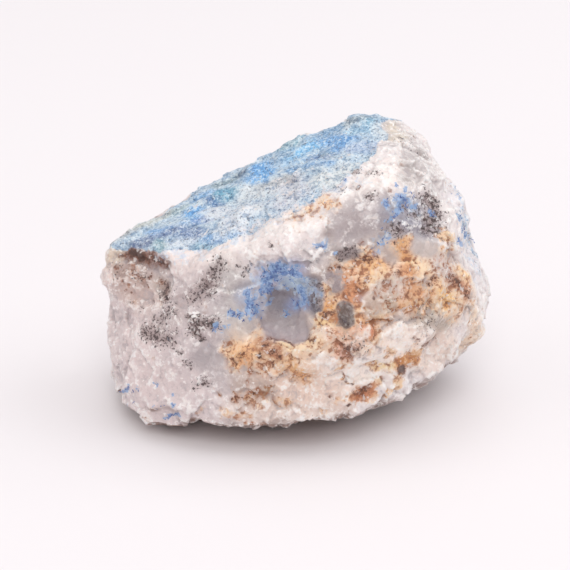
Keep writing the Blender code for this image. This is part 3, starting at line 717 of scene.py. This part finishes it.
def carveStone(stone, camera):
    mesh = stone.data
    points, normals = pointsOf(mesh), normalsOf(mesh)
    tree = bvhtree.BVHTree.FromPolygons([Vector(p) for p in points], [p.vertices[:] for p in mesh.polygons])
    wander = np.stack([noiseAt(points, carving["wander"] * mm, 3, seed) for seed in (1, 2, 3)], axis=1)
    loose = points + wander * carving["loose"] * mm  # marks are read here, so that their edges wander
    tight = points + wander * carving["tight"] * mm
    marks = {
        "crust": crustMarks,
        "bare": bareMarks,
        "veil": veilMarks,
        "blue": blueMarks,
        "rust": rustMarks,
        "brown": brownMarks,
        "specks": speckMarks,
        "glass": glassMarks,
        "snow": snowMarks,
        "calm": calmMarks,
    }
    wandering = ("crust", "veil", "rust", "snow", "calm")
    fields = {}
    for name, group in marks.items():
        fields[name] = markField(group, loose if name in wandering else tight, camera, tree)
    facingUp = smoothStep(0.2, 0.6, normals[:, 2] + 0.15 * wander[:, 0])
    sideways = np.maximum(facingUp, smoothStep(19 * mm, 21 * mm, points[:, 0]) * (points[:, 1] > -4 * mm))
    backSide = smoothStep(3 * mm, 7 * mm, points[:, 1])
    crust = fields["crust"] * np.maximum(sideways, backSide)
    fields["crust"] = np.clip(crust - 1.4 * fields.pop("bare"), 0, 1)
    print("marks:", ", ".join(f"{name} {np.mean(field > 0.3):.2f}" for name, field in fields.items()))
    calm = 1 - 0.6 * np.clip(fields["crust"] * 1.5, 0, 1) - 0.75 * smoothStep(0.25, 0.7, fields["glass"])
    calm = np.clip(calm - fields["calm"], 0.15, 1)
    resting = smoothStep(0.0, carving["still"] * mm, points[:, 2])
    rise = np.full(len(points), -carving["sink"] * mm)
    tints = {}
    for name, layer in grainLayers.items():
        height, tint = grainLayer(points, normals, layer)
        rise += height * (calm if name != "coarse" else 0.3 + 0.7 * calm)
        tints[name] = tint
    rise += noiseAt(points, carving["ripple"] * mm, 4, 5) * carving["rippleDepth"] * mm * calm
    rise += markField(reliefMarks, loose, camera, tree) * mm
    rise -= markField(hollowMarks, loose, camera, tree) * mm
    moved = insideBox(points + normals * (rise * resting)[:, None])
    mesh.vertices.foreach_set("co", moved.ravel())
    mesh.update()
    for name, scale in dentScales.items():
        fields[name] = dents(stone, **scale)
    fields["grain"] = tints["middle"]
    fields["sugar"] = tints["sugar"]
    fields["own"] = np.full(len(points), 0.5)
    for name, field in fields.items():
        mesh.attributes.new(name, "FLOAT", "POINT").data.foreach_set("value", field.astype(np.float32))
    # painted shade: faces that look down, low on the stone, are tinted towards the dark brown underside
    # colour
    below = smoothStep(0.25, 0.75, -normals[:, 2]) * (1 - smoothStep(4 * mm, 9 * mm, points[:, 2]))
    for name, (base, zones) in tintSets.items():
        tint = tintField(base, zones, loose, tight, camera, tree)
        tint += carving["underShadeShare"] * below[:, None] * (np.array(srgb(*underShadeTint)) - tint)
        layer = mesh.attributes.new(name, "FLOAT_COLOR", "POINT")
        layer.data.foreach_set("color", tint.ravel().astype(np.float32))
    thin = stone.modifiers.new("thin", "DECIMATE")  # fewer triangles, with the shape kept
    thin.ratio = skin["keep"]
    stone.data = meshFrom(stone)
    stone.modifiers.clear()
    kept = pointsOf(stone.data)
    kept[:, 2] = np.maximum(kept[:, 2], 0)
    stone.data.vertices.foreach_set("co", kept.ravel())
    stone.data.shade_smooth()
    low, high = moved.min(0) / mm, moved.max(0) / mm
    print("carved:", low.round(2), high.round(2), "triangles", len(stone.data.loop_triangles))
    return tree


# Broken crystals of sugary quartz that stand out of the skin. Sizes in millimetres.
crumbs = {"count": 5200, "size": (0.26, 0.8), "sink": 0.22, "shapes": 24, "corners": 9, "seed": 31}


def crystalShape(chance):  # one broken crystal: the hull of a few corners
    shape = bmesh.new()
    for _ in range(crumbs["corners"]):
        corner = Vector([chance.gauss(0, 1) for _ in range(3)]).normalized()
        shape.verts.new(corner * chance.uniform(0.75, 1.0) / 2)
    made = bmesh.ops.convex_hull(shape, input=shape.verts)
    inner = made["geom_interior"] + made["geom_unused"]
    spare = {item for item in inner if isinstance(item, bmesh.types.BMVert)}
    bmesh.ops.delete(shape, geom=list(spare), context="VERTS")
    bmesh.ops.recalc_face_normals(shape, faces=shape.faces)
    shape.verts.index_update()
    corners = [vert.co.copy() for vert in shape.verts]
    faces = [[vert.index for vert in face.verts] for face in shape.faces]
    shape.free()
    return corners, faces


def attributeOf(mesh, name):
    layer = mesh.attributes[name]
    width, key = (4, "color") if layer.data_type == "FLOAT_COLOR" else (1, "value")
    flat = np.zeros(len(mesh.vertices) * width, dtype=np.float32)
    layer.data.foreach_get(key, flat)
    return flat.reshape(-1, width)


def makeCrumbs(stone):
    chance = random.Random(crumbs["seed"])
    skinMesh = stone.data
    layers = skinMesh.attributes
    names = [layer.name for layer in layers if layer.data_type in ("FLOAT", "FLOAT_COLOR")]
    values = {name: attributeOf(skinMesh, name) for name in names}
    points, normals = pointsOf(skinMesh), normalsOf(skinMesh)
    want = 0.2 + 0.9 * values["rust"] + 0.9 * values["snow"] - 1.3 * values["crust"] - 1.5 * values["glass"]
    want = np.clip(want - 0.9 * values["calm"], 0.01, None) * np.clip(1 - 2.5 * values["glass"], 0, 1)
    want = want[:, 0] * (points[:, 2] > 1.5 * mm)
    draws = np.random.default_rng(crumbs["seed"])
    picked = draws.choice(len(points), crumbs["count"], False, want / want.sum())
    kinds = [crystalShape(chance) for _ in range(crumbs["shapes"])]
    shape = bmesh.new()
    owners = []
    for index in picked:
        corners, faces = chance.choice(kinds)
        size = chance.uniform(*crumbs["size"]) * chance.uniform(0.6, 1.0) * mm
        turn = Matrix.Rotation(chance.uniform(0, 6.28), 4, Vector([chance.gauss(0, 1) for _ in range(3)]))
        slim, flat = chance.uniform(0.55, 1.0), chance.uniform(0.55, 1.0)
        stretch = Matrix.Diagonal((size, size * slim, size * flat, 1.0))
        centre = Vector(points[index]) - Vector(normals[index]) * size * crumbs["sink"]
        place = Matrix.Translation(centre) @ turn @ stretch
        added = [shape.verts.new(place @ corner) for corner in corners]
        for face in faces:
            shape.faces.new([added[corner] for corner in face])
        owners += [index] * len(corners)
    pressInside(shape)
    crystals = addObject("quartz_crystals", shape)
    mesh = crystals.data
    owned = np.random.default_rng(5).uniform(0, 1, len(points)).astype(np.float32)
    values["own"] = owned[:, None]
    for name in names:
        kind, key = ("FLOAT_COLOR", "color") if values[name].shape[1] == 4 else ("FLOAT", "value")
        mesh.attributes.new(name, kind, "POINT").data.foreach_set(key, values[name][owners].ravel())
    print("crystals:", len(mesh.polygons), "faces")
    return crystals


# Small linarite blades that stand on the blue marks. Lengths in millimetres.
bladeSets = {
    "linarite_blades": {
        "marks": blueMarks,
        "perReach": 7,
        "length": (0.2, 0.5),
        "width": (0.08, 0.18),
        "seed": 21,
        "lift": 0.35,
        "thickness": 0.5,
    },
}


def addBlade(shape, place, normal, along, length, width, thickness):  # one flat six-sided blade
    along = (along - normal * along.dot(normal)).normalized()
    side = normal.cross(along)
    turn = Matrix((side, normal, along)).transposed().to_4x4()
    size = Matrix.Diagonal((width, thickness, 1.0, 1.0))
    bmesh.ops.create_cone(
        shape,
        cap_ends=True,
        segments=6,
        radius1=0.5,
        radius2=0.30,
        depth=length,
        matrix=Matrix.Translation(place) @ turn @ size,
    )


def makeBlades(name, camera, tree, material):
    spec = bladeSets[name]
    chance = random.Random(spec["seed"])
    shape = bmesh.new()
    for mark in spec["marks"].values():
        places = findPlaces(mark, camera, tree)
        count = spec["perReach"] * mark["reach"] * max(1, len(places) - 1) ** 0.7 * mark["weight"]
        for _ in range(int(count)):
            step = chance.uniform(0, max(0, len(places) - 1.001))
            start, normal = places[int(step)]
            end = places[min(int(step) + 1, len(places) - 1)][0]
            centre = start.lerp(end, step - int(step))
            spread = Vector([chance.gauss(0, 0.42) for _ in range(3)]) * mark["reach"] * mm
            found, facing, _, _ = tree.find_nearest(centre + spread)
            lean = Vector([chance.gauss(0, 0.35) for _ in range(3)])
            length = chance.uniform(*spec["length"]) * mm
            width = chance.uniform(*spec["width"]) * mm
            stance = (facing + lean).normalized()
            along = Vector([chance.gauss(0, 1) for _ in range(3)])
            place = found + facing * width * spec["lift"]
            addBlade(shape, place, stance, along, length, width, width * spec["thickness"])
    bmesh.ops.recalc_face_normals(shape, faces=shape.faces)
    pressInside(shape)
    blades = addObject(name, shape)
    blades.data.materials.append(material)
    print("blades:", name, len(blades.data.polygons), "faces")
    return blades


class Wire:  # a socket, so that shader maths reads as Python
    def __init__(self, tree, socket=None):
        self.tree = tree
        self.socket = socket

    def make(self, kind, settings=None, inputs=None, output=0):
        node = self.tree.nodes.new(kind)
        for key, value in (settings or {}).items():
            if key == "stops":
                self.setStops(node.color_ramp, value)
            else:
                setattr(node, key, value)
        for key, value in (inputs or {}).items():
            if isinstance(value, Wire):
                self.tree.links.new(value.socket, node.inputs[key])
            else:
                node.inputs[key].default_value = value
        return Wire(self.tree, node.outputs[output])

    @staticmethod
    def setStops(ramp, stops):
        while len(ramp.elements) < len(stops):
            ramp.elements.new(1.0)
        for element, (position, colour) in zip(ramp.elements, stops):
            element.position = position
            element.color = colour

    def other(self, output):  # another output of the same node
        return Wire(self.tree, self.socket.node.outputs[output])

    def maths(self, operation, *values):
        return self.make("ShaderNodeMath", {"operation": operation}, dict(enumerate(values)))

    def vector(self, operation, *values, output=0):
        return self.make("ShaderNodeVectorMath", {"operation": operation}, dict(enumerate(values)), output)

    def __add__(self, other):
        return self.maths("ADD", self, other)

    def __sub__(self, other):
        return self.maths("SUBTRACT", self, other)

    def __rsub__(self, other):
        return self.maths("SUBTRACT", other, self)

    def __mul__(self, other):
        return self.maths("MULTIPLY", self, other)

    __radd__ = __add__
    __rmul__ = __mul__

    def step(self, low, high):  # 0 below low, 1 above high, smooth between
        settings = {"interpolation_type": "SMOOTHSTEP"}
        return self.make("ShaderNodeMapRange", settings, {0: self, 1: low, 2: high})

    def mix(self, first, second, blend="MIX"):  # from the first colour to the second, by this share
        settings = {"data_type": "RGBA", "blend_type": blend, "clamp_factor": True}
        return self.make("ShaderNodeMix", settings, {0: self, 6: first, 7: second}, 2)


def startMaterial(name):
    material = bpy.data.materials.new(name)
    material.use_nodes = True
    tree = material.node_tree
    shader = tree.nodes["Principled BSDF"]
    return material, tree, shader


quartzColours = {
    "pale": srgb(252, 249, 247),
    "dim": srgb(176, 165, 168),
    "cream": srgb(248, 222, 192),
    "orange": srgb(216, 146, 98),
    "brown": srgb(146, 92, 66),
    "umber": srgb(76, 54, 48),
    "speck": srgb(60, 43, 43),
    "soot": srgb(106, 82, 78),
    "ash": srgb(166, 147, 146),
    "frost": srgb(228, 238, 243),
    "mist": srgb(206, 222, 234),
    "shade": srgb(128, 164, 196),
    "night": srgb(66, 76, 100),
    "bloom": srgb(150, 178, 218),
    "plate": srgb(148, 176, 212),
    "deep": srgb(74, 114, 174),
    "ink": srgb(44, 72, 138),
}


def makeStoneMaterial():
    colour = quartzColours
    material, tree, shader = startMaterial("vein_quartz")
    wire = Wire(tree)
    where = wire.make("ShaderNodeTexCoord", output=3)

    def mark(name):
        return wire.make("ShaderNodeAttribute", {"attribute_name": name}, output=2)

    def cloud(size, detail=4.0, rough=0.6, place=where, output=0):
        inputs = {"Vector": place, "Scale": 1 / (size * mm), "Detail": detail, "Roughness": rough}
        return wire.make("ShaderNodeTexNoise", None, inputs, output)

    def grains(size, place):  # angular grains: a chance number for each, its leaning face, and the seams
        inputs = {"Vector": place, "Scale": 1 / (size * mm)}
        cell = wire.make("ShaderNodeTexVoronoi", None, inputs)
        tint = cell.other(1)
        chance = wire.make("ShaderNodeSeparateColor", None, {0: tint}, 1)
        lean = wire.vector("SUBTRACT", tint, (0.5,) * 3)
        face = wire.vector("DOT_PRODUCT", wire.vector("SUBTRACT", place, cell.other(2)), lean, output=1)
        gap = wire.make("ShaderNodeTexVoronoi", {"feature": "DISTANCE_TO_EDGE"}, inputs)
        return chance, face, 1 - gap.step(0.0, 0.16)

    def ramp(factor, *stops):
        return wire.make("ShaderNodeValToRGB", {"stops": stops}, {0: factor})

    broad = cloud(6.0, 3.0)
    medium = cloud(2.2, 4.0)
    fine = cloud(0.8, 4.0, 0.65)
    tiny = cloud(0.3, 3.0, 0.7)
    ripple = cloud(1.1, 3.0, output=1)
    bend = {"operation": "MULTIPLY_ADD"}
    warped = wire.make("ShaderNodeVectorMath", bend, {0: ripple, 1: (0.0007,) * 3, 2: where})
    bigChance, bigFace, _ = grains(1.5, warped)
    chance, face, seam = grains(0.62, warped)
    crumbChance, crumbFace, _ = grains(0.28, warped)

    # The quartz: soft tints, cloudy and clear grains, and painted shade that darkens its hollows
    body = wire.make("ShaderNodeAttribute", {"attribute_name": "tint"})
    glass, snow = mark("glass"), mark("snow")
    dent, hollow = mark("dentFine"), mark("dentBroad")
    clear = (glass + (medium - 0.5) * 0.5 + (bigChance - 0.5) * 0.3).step(0.25, 0.65)
    own = mark("own") - 0.5
    light = (medium - 0.5) * 1.4 + (fine - 0.5) * 0.8 + (bigChance - 0.5) * 0.4 + (chance - 0.5) * 0.3
    light = light + (crumbChance - 0.5) * 0.25 + (tiny - 0.5) * 0.8 + snow * 0.15
    # painted shade: the fine and broad dent fields darken the quartz in its hollows
    light = light - (dent - 0.5) * 0.5 - (hollow - 0.5) * 0.6 + own * 0.5
    cloudy = 1 - glass.step(0.4, 0.9) * 0.75
    body = (light.step(0.02, 0.6) * 0.65 * cloudy).mix(body, colour["pale"])
    body = ((light * -1).step(0.04, 0.6) * 0.6 * cloudy).mix(body, colour["dim"])
    body = (seam * (fine - 0.2) * 0.25 * cloudy).mix(body, colour["pale"])

    # Rust: cream on the edges, orange and brown in the hollows, grey grains between
    rust = mark("rust")
    warm = rust + (chance - 0.5) * 0.35 + (bigChance - 0.5) * 0.3 + (fine - 0.5) * 0.8 + (medium - 0.5)
    warm = (warm + (dent - 0.5) * 0.2 + own * 0.3).step(0.22, 0.72) * (1 - glass.step(0.35, 0.8) * 0.9)
    heat = (fine - 0.5) * 1.7 + (tiny - 0.5) * 1.3 + (medium - 0.5) * 0.9 + (chance - 0.5) * 0.35
    heat = heat + (crumbChance - 0.5) * 0.25 + (dent - 0.5) * 0.55 + (hollow - 0.5) * 0.3 + own * 0.5 + 0.19
    stain = wire.make("ShaderNodeAttribute", {"attribute_name": "rustTint"})
    stain = (heat.step(0.04, 0.5) * 0.6).mix(stain, colour["orange"])
    stain = (heat.step(0.2, 0.6) * 0.75).mix(stain, colour["brown"])
    stain = ((heat * -1).step(0.0, 0.4) * 0.5).mix(stain, colour["cream"])
    body = (warm * 0.94).mix(body, stain)
    clots = rust + (cloud(0.42, 2.0, 0.6, warped) - 0.5) * 3.2 + (medium - 0.5) + (dent - 0.5) * 0.6
    body = (clots.step(1.35, 1.65) * 0.7).mix(body, colour["brown"])
    brown = mark("brown")
    earthy = brown + (fine - 0.5) * 1.2 + (tiny - 0.5) + (crumbChance - 0.5) * 0.5
    depth = (brown * 0.5 + (tiny - 0.5) * 1.2 + (fine - 0.5)).step(0.1, 0.6)
    body = ((brown + (medium - 0.5)).step(0.1, 0.9) * 0.45).mix(body, colour["brown"])
    earth = depth.mix(colour["brown"], colour["umber"])
    body = (earthy.step(0.5, 0.75) * brown.step(0.02, 0.15) * 0.85).mix(body, earth)

    # Dark ore specks in chains along the seams, with a brownish haze round them
    specks = mark("specks")
    body = ((specks + (fine - 0.5) * 1.2).step(0.3, 1.1) * 0.5).mix(body, colour["ash"])
    spots = cloud(0.34, 1.5, 0.6, warped) + specks * 0.2 + (fine - 0.5) * 0.34
    chains = seam * (cloud(0.5, 2.0, 0.6).step(0.5, 0.6)) * (specks + (medium - 0.5) * 1.4).step(0.4, 0.7)
    smudge = (specks + (fine - 0.5) * 1.5 + (tiny - 0.5) * 1.3 + (medium - 0.5) * 0.8).step(0.62, 1.05)
    dark = wire.maths("MAXIMUM", spots.step(0.68, 0.76), chains * 0.8)
    body = (smudge * 0.45).mix(body, colour["soot"])
    body = (dark * specks.step(0.05, 0.3) * 0.86).mix(body, colour["speck"])
    strays = (cloud(0.4, 1.0, 0.5, warped) + (broad - 0.5) * 0.25).step(0.80, 0.84)
    body = (strays * 0.6).mix(body, colour["speck"])

    # A thin blue bloom round the crust and the blue flecks
    veil = (mark("veil") + (fine - 0.5) * 1.3 + (medium - 0.5) * 0.7 + (chance - 0.5) * 0.5).step(0.42, 1.0)
    body = (veil * 0.62).mix(body, crumbChance.mix(colour["mist"], colour["bloom"]))

    # The crust: streaky flakes from frost white to slate blue
    streak = {"vector_type": "POINT"}
    along = wire.make("ShaderNodeMapping", streak, {0: warped, 2: (0.0, 0.45, 0.0), 3: (0.85, 0.70, 0.95)})
    flow = cloud(0.7, 4.0, 0.7, along)
    drift = cloud(2.6, 3.0, 0.6, along)
    flake, flakeFace, _ = grains(0.34, along)
    patch, patchFace, _ = grains(1.1, along)
    crust = mark("crust")
    cover = crust * 1.5 + (flow - 0.5) * 1.1 + (drift - 0.5) * 0.7 + (flake - 0.5) * 0.3
    cover = cover.step(0.28, 0.62) * (1 - brown.step(0.45, 0.9))
    blue = wire.make("ShaderNodeAttribute", {"attribute_name": "crustTint"})
    # a little painted shade: dent makes the crust's dark flecks gather in its hollows
    depth = (flow - 0.5) * 1.3 + (flake - 0.5) * 0.45 + (patch - 0.5) * 0.3 + (dent - 0.5) * 0.3
    depth = depth + (drift - 0.5) * 0.5 + (tiny - 0.5) * 1.7 + (crumbChance - 0.5) * 0.35
    blue = (depth.step(0.0, 0.34) * 0.65).mix(blue, colour["shade"], "MULTIPLY")
    blue = ((depth * -1).step(0.06, 0.4) * 0.65).mix(blue, colour["frost"])
    body = (cover * 0.96).mix(body, blue)
    grit = (cloud(0.26, 2.0, 0.6, along) + (flow - 0.5) * 0.3).step(0.59, 0.65)
    body = (grit * (crust * 2.2).step(0.1, 0.6) * 0.7).mix(body, colour["night"])
    threads = 1 - wire.maths("ABSOLUTE", cloud(0.45, 2.0, 0.6, along) - 0.5).step(0.0, 0.05)
    body = (threads * fine.step(0.44, 0.6) * cover * 0.7).mix(body, colour["frost"])

    # Linarite itself: broken deep blue flecks
    flecks = mark("blue")
    linarite = flecks + (fine - 0.5) * 1.3 + (tiny - 0.5) * 0.9 + (chance - 0.5) * 0.6
    linarite = (linarite + (crumbChance - 0.5) * 0.5).step(0.48, 0.66) * flecks.step(0.02, 0.15)
    gem = ramp(
        crumbChance * 0.6 + (fine - 0.5) - flecks * 0.3 + 0.5,
        (0.0, colour["ink"]),
        (0.4, colour["deep"]),
        (0.78, colour["plate"]),
    )
    body = (linarite * 0.85).mix(body, gem)
    # painted highlight: scattered white glints stand in for sparkle, and are also made less rough
    glint = (chance + (crumbChance - 0.5) * 0.3).step(0.93, 0.97)
    glint = glint * (1 - cover) * (1 - glass.step(0.1, 0.35))
    body = (glint * 0.5 * (1 - linarite)).mix(body, colour["pale"])
    tree.links.new(body.socket, shader.inputs["Base Color"])

    rough = 0.5 + (chance - 0.5) * 0.24 - clear * 0.2 + warm * 0.12 + cover * 0.05 - glint * 0.25
    tree.links.new(rough.socket, shader.inputs["Roughness"])
    tree.links.new((clear * 0.35).socket, shader.inputs["Coat Weight"])

    # The broken surface: a leaning face for each grain, in metres
    still = 1 - clear * 0.85
    broken = bigFace * 0.24 + face * 0.28 * still + crumbFace * 0.16 * still
    flaky = patchFace * 0.25 + flakeFace * 0.45
    height = broken * (1 - cover) + flaky * cover + (fine * 0.03 + tiny * 0.01) * mm * still
    bump = wire.make("ShaderNodeBump", None, {"Strength": 0.75, "Distance": 1.0, "Height": height})
    tree.links.new(bump.socket, shader.inputs["Normal"])
    shader.inputs["Subsurface Weight"].default_value = 0.4
    shader.inputs["Subsurface Radius"].default_value = (1.0, 0.82, 0.75)
    shader.inputs["Subsurface Scale"].default_value = 0.8 * mm
    shader.inputs["Coat Roughness"].default_value = 0.15
    shader.inputs["IOR"].default_value = 1.54
    return material


def makeBladeMaterial():
    colour = quartzColours
    material, tree, shader = startMaterial("linarite")
    wire = Wire(tree)
    where = wire.make("ShaderNodeTexCoord", output=3)
    patch = wire.make("ShaderNodeTexNoise", None, {"Vector": where, "Scale": 1 / (0.5 * mm), "Detail": 3.0})
    blue = patch.step(0.38, 0.62).mix(colour["ink"], srgb(88, 126, 188))
    tree.links.new(blue.socket, shader.inputs["Base Color"])
    tree.links.new((patch * 0.3 + 0.15).socket, shader.inputs["Roughness"])
    shader.inputs["IOR"].default_value = 1.8
    return material


studio = {
    "floor": srgb(235, 231, 233),
    "floorSize": 3.0,
    "world": (1.0, 0.95, 0.945, 1.0),
    "worldStrength": 0.58,
    "lamps": {
        "overhead": {"from": (0.10, 0.22, 1.10), "size": 1.0, "watts": 3.3, "colour": (0.94, 0.98, 1.0)},
        "right": {"from": (0.90, 0.05, 0.80), "size": 0.9, "watts": 4.1, "colour": (0.94, 0.98, 1.0)},
        "left": {"from": (-0.90, -0.15, 0.80), "size": 0.9, "watts": 1.7, "colour": (0.98, 0.99, 1.0)},
        "front": {"from": (0.0, -1.0, 1.20), "size": 0.9, "watts": 7.5, "colour": (1.0, 0.99, 0.98)},
    },
}


def makeStudio():
    shape = bmesh.new()
    bmesh.ops.create_grid(shape, x_segments=1, y_segments=1, size=studio["floorSize"] / 2)
    floor = addObject("floor", shape)
    material, _, shader = startMaterial("paper")
    shader.inputs["Base Color"].default_value = studio["floor"]
    shader.inputs["Roughness"].default_value = 0.9
    shader.inputs["Specular IOR Level"].default_value = 0.1
    floor.data.materials.append(material)
    world = bpy.data.worlds.new("studio")
    world.use_nodes = True
    world.node_tree.nodes["Background"].inputs[0].default_value = studio["world"]
    world.node_tree.nodes["Background"].inputs[1].default_value = studio["worldStrength"]
    bpy.context.scene.world = world
    for name, lamp in studio["lamps"].items():
        data = bpy.data.lights.new(name, "AREA")
        data.size = lamp["size"]
        data.energy = lamp["watts"]
        data.color = lamp["colour"]
        light = bpy.data.objects.new(name, data)
        light.location = lamp["from"]
        light.rotation_euler = (Vector((0, 0, 0.015)) - light.location).to_track_quat("-Z", "Y").to_euler()
        bpy.context.scene.collection.objects.link(light)
    bpy.context.scene.view_settings.view_transform = "Standard"


camera = makeCamera()
stone = makeSkin(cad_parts["linarite_stone"])
skinTree = carveStone(stone, camera)
stone.data.materials.clear()
stone.data.materials.append(makeStoneMaterial())
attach(stone, "root")
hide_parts("linarite_stone")
crystals = makeCrumbs(stone)
crystals.data.materials.append(stone.data.materials[0])
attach(crystals, "root")
blades = makeBlades("linarite_blades", camera, skinTree, makeBladeMaterial())
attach(blades, "root")
makeStudio()
